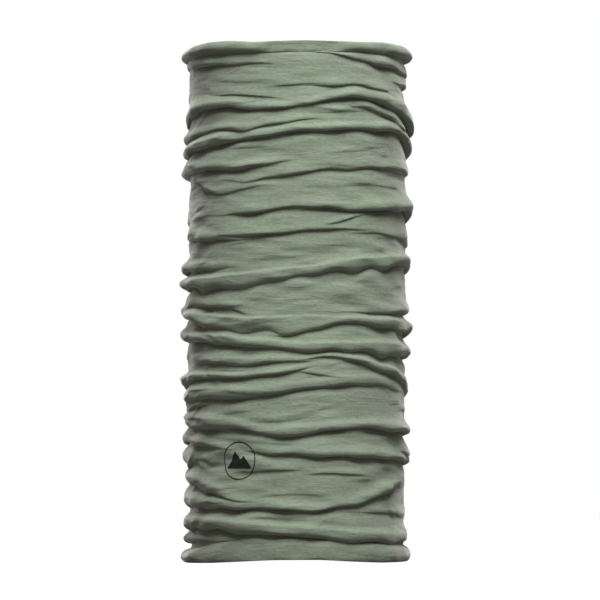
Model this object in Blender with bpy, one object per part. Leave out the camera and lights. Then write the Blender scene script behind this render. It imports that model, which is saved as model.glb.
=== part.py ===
"""Neck gaiter: a seamless knitted tube that stands on its end, gathered into soft folds.

Each end is turned over into a soft roll. A round emblem is printed at the front left, and a folded
care label hangs inside at the back, tacked along its top edge. Metres, +Z up, and the front is -Y.
"""

import math

import bmesh
import bpy
import numpy as np

MM = 0.001

# Knitted tube. Bearings are in degrees round the tube: 0 is the front, +90 the viewer's right.
SEGMENTS = 60
CLOTH = 1.2 * MM
CREST_RADIUS = 79.8 * MM  # outside of a fold
SHOULDER_RADIUS = 77.0 * MM  # cloth between two folds
CREASE_RADIUS = 74.0 * MM  # bottom of the groove under a fold
END_RADIUS = 74.6 * MM  # where the cloth goes into the rolls
FOLD_DROP = 5.0 * MM  # a crest stands this far above its crease
BEARINGS = (-90, -45, 0, 45, 90, 180)
FOLDS_MM = (  # height of each fold's crest at BEARINGS, from the bottom of the tube to its top
    (28, 28, 25, 20, 20, 26),
    (47, 43, 38, 48, 50, 52),
    (80, 77, 75, 75, 73, 76),
    (98, 98, 92, 95, 92, 97),
    (116, 118, 121, 122, 112, 115),
    (132, 131, 137, 137, 127, 134),
    (158, 155, 148, 151, 145, 152),
    (176, 168, 167, 167, 162, 174),
    (195, 194, 199, 208, 207, 200),
    (222, 227, 228, 227, 224, 226),
    (240, 243, 244, 244, 244, 246),
    (271, 271, 266, 270, 268, 265),
    (286, 291, 295, 298, 290, 288),
    (308, 315, 312, 321, 307, 314),
    (331, 338, 333, 335, 331, 334),
)
SMOOTHING_DEG = 24  # the crest lines bend over this much of the way round

# Soft rolls at the two ends: (radius, height) round the section of one roll, open to the tube.
BOTTOM_ROLL_MM = (
    (72.6, 0.0),
    (78.0, 0.0),
    (80.6, 1.6),
    (81.5, 4.6),
    (80.6, 7.8),
    (78.2, 9.8),
    (76.4, 9.6),
    (75.4, 8.4),
    (75.4, 3.4),
    (72.9, 3.4),
    (72.9, 8.6),
    (71.9, 8.8),
    (71.3, 5.0),
    (71.6, 1.6),
)
TOP_ROLL_MM = (
    (72.6, 5.0),
    (76.6, 6.2),
    (79.6, 4.4),
    (81.2, 1.0),
    (80.4, -2.8),
    (78.2, -4.8),
    (76.4, -4.6),
    (75.4, -3.4),
    (75.4, 1.6),
    (72.9, 1.6),
    (72.9, -3.6),
    (71.9, -3.8),
    (71.3, 0.0),
    (71.5, 2.8),
)
BOTTOM_END = 4.2 * MM  # where the cloth ends inside the bottom roll
BOTTOM_MOUTH = 11.5 * MM  # where it comes out of that roll
TOP_ROLL_HEIGHT = 350.5 * MM
TOP_ROLL_SAG = 1.5 * MM  # the top edge is this much lower at the sides, and higher at the front
TOP_MOUTH_DROP = 7.0 * MM  # from the roll's middle down to where the cloth comes out of it

# Printed emblem: a ring round a mountain range. Points are (across, up) from its centre.
EMBLEM_BEARING = -32.0
EMBLEM_HEIGHT = 70.5 * MM
EMBLEM_SEAT_RADIUS = 77.0 * MM  # the print keeps the cloth under it smooth
EMBLEM_SEAT_HALF = 16.0 * MM
EMBLEM_SEAT_FADE = 8.0 * MM
INK_GAP = 0.35 * MM
INK = 0.4 * MM
RING_RADIUS = 13.0 * MM
RING_WIDTH = 0.8 * MM
RING_STEPS = 72
RIDGE_MM = ((-9.6, -4.2), (-3.0, 6.8), (1.2, 1.0), (4.0, 3.2), (9.6, -4.2))
RIDGE_FOOT = -5.4 * MM
RIDGE_STEPS = 4  # strips between two corners, so that the print follows the tube

# Care label: a folded ribbon that swings about its top edge, and the thread that tacks it.
LABEL_HALF_WIDTH = 10.0 * MM
LABEL_LENGTH = 33.0 * MM
LABEL_HINGE = (0.0, 70.5 * MM, 44.5 * MM)
LABEL_HALF_THICKNESS = 0.55 * MM
LABEL_HALF_SLIT = 0.2 * MM
LABEL_FOLD = 0.7 * MM  # height of the turned lower end
THREAD_RADIUS = 0.22 * MM
THREAD_HALF_WIDTH = 8.0 * MM
THREAD_CENTRE = (0.0, 71.6 * MM, 46.2 * MM)
THREAD_SWING = 0.9 * MM  # height of the zigzag to each side
THREAD_TURNS = 6
THREAD_STEPS_PER_TURN = 8

KNIT_COLOUR = (0.245, 0.315, 0.235)
INK_COLOUR = (0.012, 0.016, 0.012)
RIBBON_COLOUR = (0.82, 0.82, 0.79)
THREAD_COLOUR = (0.20, 0.26, 0.19)


def clear_scene():
    for obj in list(bpy.data.objects):
        bpy.data.objects.remove(obj, do_unlink=True)


def cloth_material(name, colour, roughness):
    material = bpy.data.materials.new(name)
    material.use_nodes = True
    surface = material.node_tree.nodes["Principled BSDF"]
    surface.inputs["Base Color"].default_value = (*colour, 1.0)
    surface.inputs["Roughness"].default_value = roughness
    material.diffuse_color = (*colour, 1.0)
    return material


def add_object(name, points, faces, material, origin=(0.0, 0.0, 0.0)):
    """A mesh object whose points are given in the world, with its origin moved to the point given."""
    mesh = bpy.data.meshes.new(name)
    mesh.from_pydata([np.subtract(point, origin).tolist() for point in points], [], faces)
    mesh.materials.append(material)
    obj = bpy.data.objects.new(name, mesh)
    obj.location = origin
    bpy.context.scene.collection.objects.link(obj)
    return obj


def face_outwards(obj):
    shape = bmesh.new()
    shape.from_mesh(obj.data)
    bmesh.ops.recalc_face_normals(shape, faces=shape.faces)
    shape.to_mesh(obj.data)
    shape.free()


def add_solidify(obj, thickness, offset):
    solidify = obj.modifiers.new("thickness", "SOLIDIFY")
    solidify.thickness = thickness
    solidify.offset = offset


def around(bearing, radius, height):
    """The point at this bearing in degrees, radius and height."""
    turn = math.radians(bearing)
    return (radius * math.sin(turn), -radius * math.cos(turn), height)


def segment_bearings():
    return np.arange(SEGMENTS) * 360.0 / SEGMENTS - 180.0


def crest_line(heights_mm):
    """The height of one crest at every segment: a smooth closed line through its heights at BEARINGS."""
    straight = np.interp(segment_bearings(), BEARINGS, heights_mm, period=360.0)
    reach = round(SMOOTHING_DEG * SEGMENTS / 360.0)
    window = np.hanning(2 * reach + 1)
    wrapped = np.concatenate([straight[-reach:], straight, straight[:reach]])
    return np.convolve(wrapped, window / window.sum(), "valid") * MM


def top_roll_line():
    """The height of the top roll's middle at every segment: a saddle, low at both sides."""
    return TOP_ROLL_HEIGHT + TOP_ROLL_SAG * np.cos(np.radians(2.0 * segment_bearings()))


def emblem_weight(bearing, height):
    """1 under the emblem, falling smoothly to 0 away from it."""
    across = math.radians(bearing - EMBLEM_BEARING) * EMBLEM_SEAT_RADIUS
    away = math.hypot(across, height - EMBLEM_HEIGHT) - EMBLEM_SEAT_HALF
    fade = min(max(1.0 - away / EMBLEM_SEAT_FADE, 0.0), 1.0)
    return fade * fade * (3.0 - 2.0 * fade)


def cloth_rows():
    """The tube's rows from its bottom end to its top, each as (radius, height of every segment)."""
    level = np.ones(SEGMENTS)
    crests = [crest_line(heights) for heights in FOLDS_MM]
    creases = [crest - FOLD_DROP for crest in crests]
    tops = creases[1:] + [top_roll_line() - TOP_MOUTH_DROP]
    rows = [(END_RADIUS, BOTTOM_END * level), (END_RADIUS, BOTTOM_MOUTH * level)]
    for crest, crease, top in zip(crests, creases, tops):
        rows.append((CREASE_RADIUS, crease))
        rows.append((CREST_RADIUS, crest))
        rows.append((SHOULDER_RADIUS, (crest + top) / 2.0))
    rows.append((END_RADIUS, tops[-1]))
    rows.append((END_RADIUS, top_roll_line()))
    return rows


def closed_grid(rows, row_length, wrap_rows):
    """Faces of a grid of points stored row by row, closed round each row and, if asked, row to row."""
    faces = []
    for row in range(rows if wrap_rows else rows - 1):
        low = row * row_length
        high = (row + 1) % rows * row_length
        for i in range(row_length):
            j = (i + 1) % row_length
            faces.append((low + i, low + j, high + j, high + i))
    return faces


def add_tube(material):
    bearings = segment_bearings()
    points = []
    rows = cloth_rows()
    for radius, heights in rows:
        for bearing, height in zip(bearings, heights):
            seat = emblem_weight(bearing, height)
            here = radius + (EMBLEM_SEAT_RADIUS - radius) * seat
            points.append(around(bearing, here, height))
    tube = add_object("tube_cloth", points, closed_grid(len(rows), SEGMENTS, False), material)
    add_solidify(tube, CLOTH, -1.0)


def add_roll(name, section_mm, heights, origin, material):
    """One roll: its section carried round the tube, with the height added at every segment."""
    points = [
        around(bearing, radius * MM, up * MM + height)
        for radius, up in section_mm
        for bearing, height in zip(segment_bearings(), heights)
    ]
    roll = add_object(name, points, closed_grid(len(section_mm), SEGMENTS, True), material, origin)
    face_outwards(roll)


def on_emblem(across, up):
    """A point on the emblem's inner face, this far across and up from its centre."""
    radius = EMBLEM_SEAT_RADIUS + INK_GAP
    bearing = EMBLEM_BEARING + math.degrees(across / radius)
    return around(bearing, radius, EMBLEM_HEIGHT + up)


def add_print(name, pairs, closed, material):
    """One patch of ink between two lines, given as pairs of points that face each other."""
    points = [point for pair in pairs for point in pair]
    faces = []
    for i in range(len(pairs) if closed else len(pairs) - 1):
        low = 2 * i
        high = 2 * ((i + 1) % len(pairs))
        faces.append((low, low + 1, high + 1, high))
    patch = add_object(name, points, faces, material)
    add_solidify(patch, INK, -1.0)


def add_emblem(material):
    ring = []
    for step in range(RING_STEPS):
        turn = 2.0 * math.pi * step / RING_STEPS
        ring.append(
            [
                on_emblem(radius * math.cos(turn), radius * math.sin(turn))
                for radius in (RING_RADIUS, RING_RADIUS - RING_WIDTH)
            ]
        )
    add_print("emblem_ring", ring, True, material)

    corners = np.array(RIDGE_MM) * MM
    places = np.linspace(0, len(corners) - 1, RIDGE_STEPS * (len(corners) - 1) + 1)
    across = np.interp(places, np.arange(len(corners)), corners[:, 0])
    up = np.interp(places, np.arange(len(corners)), corners[:, 1])
    peaks = [[on_emblem(x, RIDGE_FOOT), on_emblem(x, z)] for x, z in zip(across, up)]
    add_print("emblem_peaks", peaks, False, material)


def add_label(material):
    """A ribbon folded in two: its section is a long U, open along the tacked top edge."""
    low = -LABEL_LENGTH
    section = (
        (-LABEL_HALF_THICKNESS, 0.0),
        (-LABEL_HALF_THICKNESS, low + LABEL_FOLD),
        (-LABEL_HALF_SLIT, low),
        (LABEL_HALF_SLIT, low),
        (LABEL_HALF_THICKNESS, low + LABEL_FOLD),
        (LABEL_HALF_THICKNESS, 0.0),
        (LABEL_HALF_SLIT, 0.0),
        (LABEL_HALF_SLIT, low + LABEL_FOLD),
        (-LABEL_HALF_SLIT, low + LABEL_FOLD),
        (-LABEL_HALF_SLIT, 0.0),
    )
    count = len(section)
    points = [
        np.add(LABEL_HINGE, (side * LABEL_HALF_WIDTH, depth, up))
        for side in (-1, 1)
        for depth, up in section
    ]
    faces = [tuple(range(count)), tuple(range(count, 2 * count))]
    for i in range(count):
        j = (i + 1) % count
        faces.append((i, j, count + j, count + i))
    face_outwards(add_object("care_label", points, faces, material, LABEL_HINGE))


def add_label_thread(material):
    """A zigzag of thread just above the label's top edge, against the inside of the cloth."""
    steps = THREAD_TURNS * THREAD_STEPS_PER_TURN
    curve = bpy.data.curves.new("care_label_thread", "CURVE")
    curve.dimensions = "3D"
    curve.bevel_depth = THREAD_RADIUS
    curve.bevel_resolution = 1
    curve.use_fill_caps = True
    line = curve.splines.new("POLY")
    line.points.add(steps)
    for step, point in enumerate(line.points):
        along = THREAD_HALF_WIDTH * (2.0 * step / steps - 1.0)
        swing = THREAD_SWING * math.sin(2.0 * math.pi * step / THREAD_STEPS_PER_TURN)
        point.co = (*np.add(THREAD_CENTRE, (along, 0.0, swing)), 1.0)
    curve.materials.append(material)
    thread = bpy.data.objects.new("care_label_thread", curve)
    bpy.context.scene.collection.objects.link(thread)


def main():
    clear_scene()
    bpy.context.scene.unit_settings.system = "METRIC"
    flat = np.zeros(SEGMENTS)
    top_origin = (0.0, 0.0, TOP_ROLL_HEIGHT)
    knit = {edge: cloth_material(f"{edge}_knit", KNIT_COLOUR, 0.95) for edge in ("tube", "bottom", "top")}
    add_tube(knit["tube"])
    add_roll("bottom_edge_roll", BOTTOM_ROLL_MM, flat, (0.0, 0.0, 0.0), knit["bottom"])
    add_roll("top_edge_roll", TOP_ROLL_MM, top_roll_line(), top_origin, knit["top"])
    add_emblem(cloth_material("emblem_ink", INK_COLOUR, 0.6))
    add_label(cloth_material("label_ribbon", RIBBON_COLOUR, 0.7))
    add_label_thread(cloth_material("label_thread", THREAD_COLOUR, 0.8))


main()
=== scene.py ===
"""Looks of the neck gaiter: gathered knit cloth with soft folds, rolled edges, a printed emblem and a
folded care label, in a pale studio. Metres, +Z up, the front is -Y. Bearings are degrees round the tube:
0 is the front and +90 the viewer's right."""

import math

import bpy
import numpy as np
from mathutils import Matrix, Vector
from mathutils.bvhtree import BVHTree


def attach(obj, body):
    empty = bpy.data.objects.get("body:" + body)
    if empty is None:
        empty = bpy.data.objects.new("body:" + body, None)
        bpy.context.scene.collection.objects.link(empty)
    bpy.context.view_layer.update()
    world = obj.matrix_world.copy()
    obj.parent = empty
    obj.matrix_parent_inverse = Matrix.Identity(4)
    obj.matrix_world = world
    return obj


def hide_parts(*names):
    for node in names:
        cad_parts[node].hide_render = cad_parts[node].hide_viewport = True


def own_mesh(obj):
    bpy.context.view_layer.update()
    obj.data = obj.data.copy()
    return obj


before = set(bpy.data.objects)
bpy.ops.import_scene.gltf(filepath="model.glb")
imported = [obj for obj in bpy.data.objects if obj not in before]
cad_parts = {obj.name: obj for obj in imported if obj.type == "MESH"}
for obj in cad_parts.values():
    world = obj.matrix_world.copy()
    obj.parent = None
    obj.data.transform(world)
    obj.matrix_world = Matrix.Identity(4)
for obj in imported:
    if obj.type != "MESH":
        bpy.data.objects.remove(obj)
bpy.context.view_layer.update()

MM = 0.001

# Cloth of the tube
COLUMNS = 320
ROWS = 640
PROFILE_STEP_MM = 0.3  # the folds are worked out this finely before the rows are spread along the cloth
# For the painted shade in the creases: how far round a crease is measured, and how deep it is fully shaded
CREASE_REACH_MM = 7.0  # a crease lies deeper than the cloth this far above and below it
CREASE_DEPTH_MM = 1.8
DRIFT_REACH_MM = 16.0  # the courses of the knit run level again this far from a fold
TURN_MM = 1.0  # extra length of cloth given to a turn of one radian when the rows are spread
EFFORT_SMOOTHING_DEG = 7  # so that each row runs smoothly from column to column
CLOTH_RADIUS_MM = 74.6
TUBE_LOW_MM = 5.0  # the tube's ends, both hidden in the rolls
TUBE_HIGH_MM = 352.5
FLAT_WIDTH = 0.471  # once round
LINE_SMOOTHING_DEG = 7  # of the lines of the folds and the edges
CALM_END_MM = 22.0  # the cloth crumples less this near to its ends, where the rolls hold it
CALM_END_SHARE = 0.2
TUCK_REACH_MM = 4.0  # the cloth passes behind a roll within this much of where the roll tucks in
HIDDEN_RADIUS_MM = 73.9
TUCK_START_MM = 0.5  # and begins to this far before it
TACK_HEIGHT_MM = 47.0  # the stitches of the care label draw the cloth in, at the back
TACK_RADIUS_MM = 71.8
TACK_REACH_DEG = 8.5
TACK_REACH_MM = 4.5
TACK_HOLD = 1.5  # over 1 holds the cloth fully in for some way round the tack

# Folds
FOLD_SEED = 7
ROLL_SHARE = 0.62  # how much of a fold's upper side is its tight roll; the rest is a gentle ramp
SIDE_ROLL_SHARE = 0.33  # more of this at the sides, where folds are rounder
ROLL_FRONT_WIDTH = 0.46  # width of the roll's upper side, beside the fold's rise
ROLL_SIDE_WIDTH = 0.85  # the same at the sides, where the cloth bulges between its creases
RAMP_SIDE = 2.3  # width of the ramp, beside the fold's rise
ROLL_FULLNESS = 1.9  # higher keeps the roll full for longer before it turns under
DIP_SHARE = 0.55  # how deep the crease under a crest is, beside how far the crest stands out
SIDE_DIP = 0.2  # shallower by this at the sides
DIP_ABOVE = 0.25  # width of the crease's upper side, beside the fold's drop
DIP_BELOW_MM = 3.6  # width of its lower side, where the cloth comes out again
FRONT_OUT = 0.56  # at the front and back the folds lie flatter than at the sides
SIDE_OUT = 0.88
THIN_DROP_MM = 5.0  # up to this drop a fold is pinched thin, and beyond it the fold is a full roll
PINCH = 0.5
SIDE_PINCH = 0.38  # less pinched by this at the sides
SIDE_LEAN = 0.4  # and they lean down less by this share
CREST_WOBBLE_MM = 0.16  # a fold wanders this much up and down
SIZE_WOBBLE = 0.12  # and grows and shrinks by this share
WOBBLE_WAVES = 16
WOBBLE_ROUNDS = (3, 20)  # fewest waves round the tube, and one more than the most

# The folds, from the top down: how far above its crest a fold begins to swell (mm), how far the crest
# leans down beside how far it stands out, and points along it:
# (bearing, height of the crest, drop from the crest to the crease under it, how far it stands out).
FOLDS = {
    "under_top_right": (4, 0.6, (
        (-14, 349.5, 3, 0), (5, 349.5, 3, 1.5), (20, 348, 2.5, 2), (30, 345.5, 4, 2.2),
        (45, 343.5, 4, 2.8), (60, 342.5, 4.5, 3), (78, 341.5, 5, 2.5), (118, 342, 5, 0),
    )),
    "under_top_left": (4, 0.6, (
        (-120, 345, 5, 0), (-65, 344, 4, 3), (-50, 343, 4, 3), (-8, 340.5, 3, 0),
    )),
    "upper_right": (6, 0.6, (
        (2, 326, 3, 0), (15, 326, 3, 1.6), (33, 328.5, 3.5, 3), (72, 323, 4, 0),
    )),
    "upper_right_bump": (6, 0.6, (
        (-165, 339, 5, 2.4), (-135, 338, 5, 2), (-110, 337, 5, 0), (55, 334, 4, 0),
        (70, 332.5, 5, 1.5), (85, 333, 5, 3), (100, 333, 5, 2.8), (130, 336, 5, 2), (165, 339, 5, 2.4),
    )),
    "upper_middle": (5, 0.6, (
        (-15, 325, 2.5, 0), (-5, 325.5, 2, 0.9), (5, 326.5, 2, 0.9), (16, 327.5, 2, 0),
    )),
    "upper_left": (6, 0.6, (
        (-62, 324.5, 3, 0), (-30, 320, 2.5, 1.5), (-20, 319.5, 2.5, 1.5), (-2, 315, 2.5, 0),
    )),
    "shoulder": (5, 0.6, (
        (-180, 316, 6, 4.5), (-120, 312, 6, 4), (-95, 306, 7, 3.5), (-78, 310.5, 4, 3.5),
        (-60, 314, 4.5, 4.5), (-40, 314.5, 5, 5), (-20, 311, 4, 3.5), (-8, 310.5, 3, 2.8),
        (8, 314, 3.5, 3), (30, 320.5, 4.5, 4.8), (45, 320.5, 5.5, 5.5), (72, 314, 6, 5.5),
        (90, 304, 7, 5), (110, 300, 7, 4.6), (145, 310, 6, 4),
    )),
    "shoulder_right": (5, 0.6, (
        (22, 314, 3, 0), (40, 314, 5, 2.6), (60, 308.5, 6, 3.5), (92, 302, 6, 3), (112, 297, 6, 0),
    )),
    "small_302": (4, 0.6, (
        (-50, 299, 2.5, 0), (-30, 296.5, 3, 2.8), (0, 302.5, 3, 1.5), (18, 303.5, 3, 0),
    )),
    "spike_left_293": (3, 0.6, (
        (-150, 292, 5, 0), (-110, 293, 4, 2.5), (-90, 293.5, 4, 4.5), (-35, 299.5, 3, 0),
    )),
    "big_300": (3.5, 0.6, (
        (-180, 290, 6, 4.5), (-130, 284, 6, 4.5), (-92, 284.5, 5, 5.3), (-30, 292.5, 6, 4.8),
        (0, 295.5, 4.5, 4), (60, 300, 5, 4.2), (70, 299.5, 5, 4), (85, 293.5, 7, 5.5),
        (100, 289, 8, 6), (130, 288, 7, 5), (155, 291, 6, 4.5),
    )),
    "left_276": (6, 0.6, (
        (-120, 268, 6, 3.5), (-95, 271, 5, 6), (-80, 274.5, 6, 4.5), (-45, 271.5, 4.5, 3.5),
        (-32, 270.5, 5, 2.5), (-8, 273.5, 4, 0),
    )),
    "left_278": (4, 0.6, (
        (-38, 271.5, 3, 0), (-28, 271.5, 3, 2), (-18, 272.5, 2.8, 2), (0, 275, 3, 0),
    )),
    "middle_271": (8, 0.5, (
        (-160, 266, 6, 4), (-135, 267, 6, 3), (-115, 268, 6, 0), (-30, 261.5, 3, 0.4),
        (-20, 262, 3, 1.5), (10, 268, 3, 2.5), (35, 271.5, 4, 2), (70, 274, 4, 1.2), (90, 272, 5, 1.2),
        (120, 270, 6, 3), (160, 267, 6, 4),
    )),
    "vee_256": (5, 0.5, (
        (-72, 266.5, 4, 0), (-60, 262.5, 4, 0.9), (-52, 255.5, 4, 1.4), (-45, 253, 3.5, 1.5),
        (-20, 258, 3, 0.5), (-8, 258.5, 3, 0),
    )),
    "middle_248": (7, 0.6, (
        (-155, 246, 6, 4), (-100, 240, 6, 1.5), (-62, 238.5, 4, 0.3), (-48, 239.5, 3, 0.3),
        (-38, 239, 3, 1), (-18, 240.5, 2.8, 2.8), (0, 244, 3, 3), (30, 243, 4.5, 4.5),
        (75, 246.5, 5, 5.2), (90, 246, 7, 5.2), (105, 241, 8, 5.2), (135, 240, 7, 5), (170, 244, 6, 4.5),
    )),
    "left_227": (6, 0.6, (
        (-150, 226, 6, 3.2), (-110, 226, 5, 1.6), (-90, 227, 5, 2), (-58, 224.5, 5, 3.5),
        (-35, 222.5, 4.2, 2), (-24, 221.5, 4, 0), (20, 225.5, 4, 0), (50, 228, 4, 1.2),
        (110, 222, 6, 2.6), (140, 222, 6, 3.5), (180, 224, 6, 4),
    )),
    "middle_231": (6, 0.6, (
        (-48, 226, 3, 0), (-36, 225.5, 3.5, 1.8), (-20, 224.5, 3.2, 2.8), (14, 228.5, 2.8, 2.6),
        (42, 228.5, 3, 0),
    )),
    "branch_240": (3, 0.6, (
        (12, 231.5, 2.5, 0), (20, 232.5, 2.5, 1.4), (27, 235, 2.5, 2), (40, 239.5, 2.5, 0),
    )),
    "left_loop_206": (3, 0.7, (
        (-130, 207, 6, 0), (-115, 206, 6, 2.5), (-90, 204.5, 5, 5), (-65, 205, 6, 3),
        (-30, 203.5, 4, 0),
    )),
    "line_203": (2.6, 0.35, (
        (-140, 199, 6, 4.5), (-110, 196, 6, 4.5), (-92, 194, 6, 6), (-78, 195, 6, 4.5),
        (-45, 194.5, 8, 4), (-20, 197.5, 9, 3), (0, 199.5, 7, 3), (12, 202, 7, 3), (22, 205, 8, 3.3),
        (35, 207, 8, 3.5), (70, 210.5, 6, 4.5), (85, 209.5, 5.5, 5.3), (97, 206, 5, 5.5),
        (115, 204, 6, 4.5), (150, 203, 6, 4), (180, 202, 6, 4.5),
    )),
    "left_180": (6, 0.5, (
        (-120, 184, 6, 0), (-85, 181.5, 5, 2.4), (-42, 177, 5, 1.6), (-33, 174.5, 5, 1.2),
        (-26, 170, 4, 0.7), (-18, 168, 4, 0),
    )),
    "line_170": (2.4, 0.35, (
        (-145, 175, 6, 4), (-115, 176, 5, 5), (-97, 174, 5, 7), (-88, 175, 5, 7), (-76, 172, 5, 5),
        (-60, 170, 7, 4), (-45, 168, 9, 3.5), (-30, 166.5, 8.5, 3.2), (-15, 166.5, 9, 3),
        (0, 167, 12, 2.5), (10, 167.5, 9, 2.2), (20, 166.5, 5, 2.5), (68, 166.5, 7, 4.2),
        (84, 165, 6, 5.2), (96, 161, 5, 5.4), (112, 160, 6, 5), (145, 166, 6, 4), (180, 172, 6, 4),
    )),
    "diagonal_160": (5, 0.5, (
        (-18, 155.5, 3, 0), (-8, 155.5, 3, 1), (0, 157.5, 3, 1.6), (10, 161, 3, 1.6), (28, 166, 3, 0),
    )),
    "right_175": (5, 0.6, (
        (18, 172, 3, 0), (60, 174, 4.5, 2.8), (90, 176, 4.5, 3.5), (110, 175, 5, 3), (140, 178, 5, 2),
        (170, 180, 5, 0),
    )),
    "middle_151": (3, 0.6, (
        (-145, 155, 6, 4), (-110, 158, 6, 4), (-92, 160, 6, 5.3), (-78, 157, 5, 4.5),
        (-45, 155, 6.5, 4.5), (0, 148.5, 6, 3.6), (50, 150, 7.5, 4), (70, 149, 7, 4.2),
        (85, 147, 5, 4.8), (97, 145, 5, 4.6), (115, 146, 6, 4), (180, 152, 6, 4),
    )),
    "arc_144": (1.9, 0.3, (
        (0, 140, 3, 0), (14, 142, 3, 2.2), (22, 142, 3.5, 2.7), (40, 138, 5, 3.2), (92, 124, 6, 3),
        (110, 120, 6, 2), (135, 118, 6, 0),
    )),
    "left_141": (4, 0.6, (
        (-65, 139, 3, 0), (-50, 139.5, 3.5, 1.9), (-38, 139.5, 6, 2.6), (-28, 138.5, 6, 3),
        (-8, 138.5, 4, 2.6), (12, 139.5, 3, 0),
    )),
    "line_130": (2, 0.5, (
        (-155, 131, 6, 3), (-115, 128, 6, 3.5), (-95, 127, 6, 4.8), (-60, 129, 4, 3),
        (-30, 128.5, 3.5, 3.4), (-10, 130.5, 3.8, 3.4), (12, 136, 3, 0), (110, 134, 6, 0),
        (140, 134, 6, 3), (175, 132, 6, 3.8),
    )),
    "small_131": (5, 0.5, (
        (-2, 132, 3, 0), (6, 130.5, 3, 1.2), (15, 128.5, 3, 1.4), (32, 129.5, 3, 0),
    )),
    "middle_123": (5, 0.6, (
        (-150, 116, 6, 3.6), (-110, 118, 6, 3), (-70, 118.5, 6, 3.8), (-30, 117, 7, 4),
        (-3, 120.5, 5.5, 3.6), (22, 125, 6, 3.4), (48, 126.5, 6, 2), (78, 121.5, 6, 0.3),
        (110, 116, 6, 2), (150, 115, 6, 3.6),
    )),
    "left_111": (4, 0.6, (
        (-130, 108, 5, 0), (-110, 110, 5, 2), (-85, 110, 5, 3), (-70, 110.5, 5, 2.6), (-45, 112, 4, 0),
    )),
    "middle_93": (4.5, 0.6, (
        (-145, 99, 6, 3.5), (-115, 100, 6, 3), (-90, 101, 6, 3.5), (-70, 100, 7, 3.3),
        (-55, 99, 8, 3.3), (-42, 97.5, 7, 3.3), (-33, 96, 5, 3.3), (-27, 93.5, 5, 3.5),
        (-10, 91, 7.5, 4.4), (25, 94, 4, 4.4), (40, 95.5, 4.5, 4.6), (90, 92, 4, 5), (105, 92, 5, 4.5),
        (180, 98, 6, 4),
    )),
    "left_87": (3.5, 0.7, (
        (-150, 86, 5, 0), (-120, 86, 5, 3), (-97, 86.5, 4.5, 6.3), (-85, 88, 4.5, 4.5),
        (-34, 78.5, 3, 0),
    )),
    "left_75": (6, 0.6, (
        (-150, 74, 6, 3.8), (-130, 73, 6, 3), (-95, 74.5, 6, 5.2), (-80, 76, 7, 3.5),
        (-65, 74.5, 7, 2), (-42, 69.5, 6, 0), (-30, 78.5, 4, 0), (-12, 77, 5, 3), (12, 75.5, 5.2, 4.2),
        (50, 75.5, 5, 4.5), (90, 71.5, 3, 4.6), (105, 71, 5, 4), (180, 75, 6, 4),
    )),
    "right_80": (5, 0.6, (
        (60, 81.5, 4, 0), (90, 79, 5, 2.8), (110, 80, 5, 2), (135, 82, 5, 0),
    )),
    "faint_64": (5, 0.5, (
        (-34, 64, 3, 0), (-24, 63.5, 3, 1.1), (-14, 65, 2.8, 1.7), (5, 64.5, 3, 0),
    )),
    "faint_62": (5, 0.5, (
        (7, 62, 2.5, 0), (15, 62.5, 2.5, 1.3), (33, 61.5, 2.5, 0.9), (43, 61, 2.5, 0),
    )),
    "left_60": (5, 0.6, (
        (-160, 64, 6, 2), (-125, 62, 6, 2.6), (-85, 61.5, 6, 3), (-72, 60, 6, 3.2),
        (-44, 50.5, 5.5, 3.2), (-28, 45, 3, 1.1), (-18, 44, 3, 0), (165, 66, 6, 0),
    )),
    "smile_40": (6, 0.6, (
        (-160, 50, 6, 3.5), (-130, 48, 6, 3), (-95, 47, 6, 4.8), (-78, 45, 6, 3.8),
        (-45, 42.5, 6, 4.3), (-15, 39.5, 4.6, 4.2), (12, 38.5, 4.2, 4), (32, 43, 5, 4),
        (52, 51, 6, 3.3), (62, 55, 6, 2.2), (74, 58, 6, 1), (90, 60, 6, 0), (118, 57, 6, 0.5),
        (140, 54, 6, 2), (170, 51, 6, 3),
    )),
    "right_36": (4, 0.5, (
        (33, 36.5, 3, 0), (45, 36.5, 3, 1.1), (60, 36, 3, 1.3), (92, 34, 4, 0),
    )),
    "lower_24": (4, 0.6, (
        (-150, 27, 6, 4), (-95, 29, 5, 4.6), (-62, 30.5, 7, 4.6), (0, 24.5, 7.5, 6.0),
        (30, 21, 7.5, 5.8), (60, 19.5, 6, 4.6), (90, 20.5, 6, 1.8), (150, 24, 6, 4), (180, 26, 6, 4),
    )),
    "left_17": (3, 0.6, (
        (-150, 17, 5, 0), (-120, 17, 5, 3), (-95, 17, 4.5, 4.8), (-65, 18, 3.5, 1.6),
        (-38, 16.5, 3, 0),
    )),
    "back_190": (6, 0.6, (
        (-170, 187, 6, 3), (-150, 189, 6, 0), (120, 190, 6, 0), (140, 189, 6, 2.5), (165, 187, 6, 3.5),
    )),
    "back_105": (6, 0.6, (
        (-175, 108, 6, 2), (-150, 109, 6, 0), (110, 106, 6, 0), (130, 105, 6, 2.5), (160, 106, 6, 2.5),
    )),
    "back_328": (6, 0.6, (
        (-170, 328, 5, 2.2), (-145, 326, 5, 0), (115, 322, 5, 0), (135, 325, 5, 2), (160, 328, 5, 2.6),
    )),
}


def column_bearings():
    return np.arange(COLUMNS) * 360.0 / COLUMNS - 180.0


def smooth_round(values, degrees):
    """Values at the columns, averaged round the tube over about this many degrees to each side."""
    reach = max(1, round(degrees * COLUMNS / 360.0))
    window = np.hanning(2 * reach + 3)[1:-1]
    wrapped = np.concatenate([values[-reach:], values, values[:reach]])
    return np.convolve(wrapped, window / window.sum(), "valid")


def round_the_tube(bearings, values):
    """A smooth closed line through these values, read at every column."""
    line = np.interp(column_bearings(), bearings, values, period=360.0)
    return smooth_round(line, LINE_SMOOTHING_DEG)


def bell(distance, width):
    return np.exp(-np.square(distance / width))


def sideways():
    """0 at the front and the back of the tube and 1 at its sides."""
    return np.abs(np.sin(np.radians(column_bearings()))) ** 3


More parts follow.
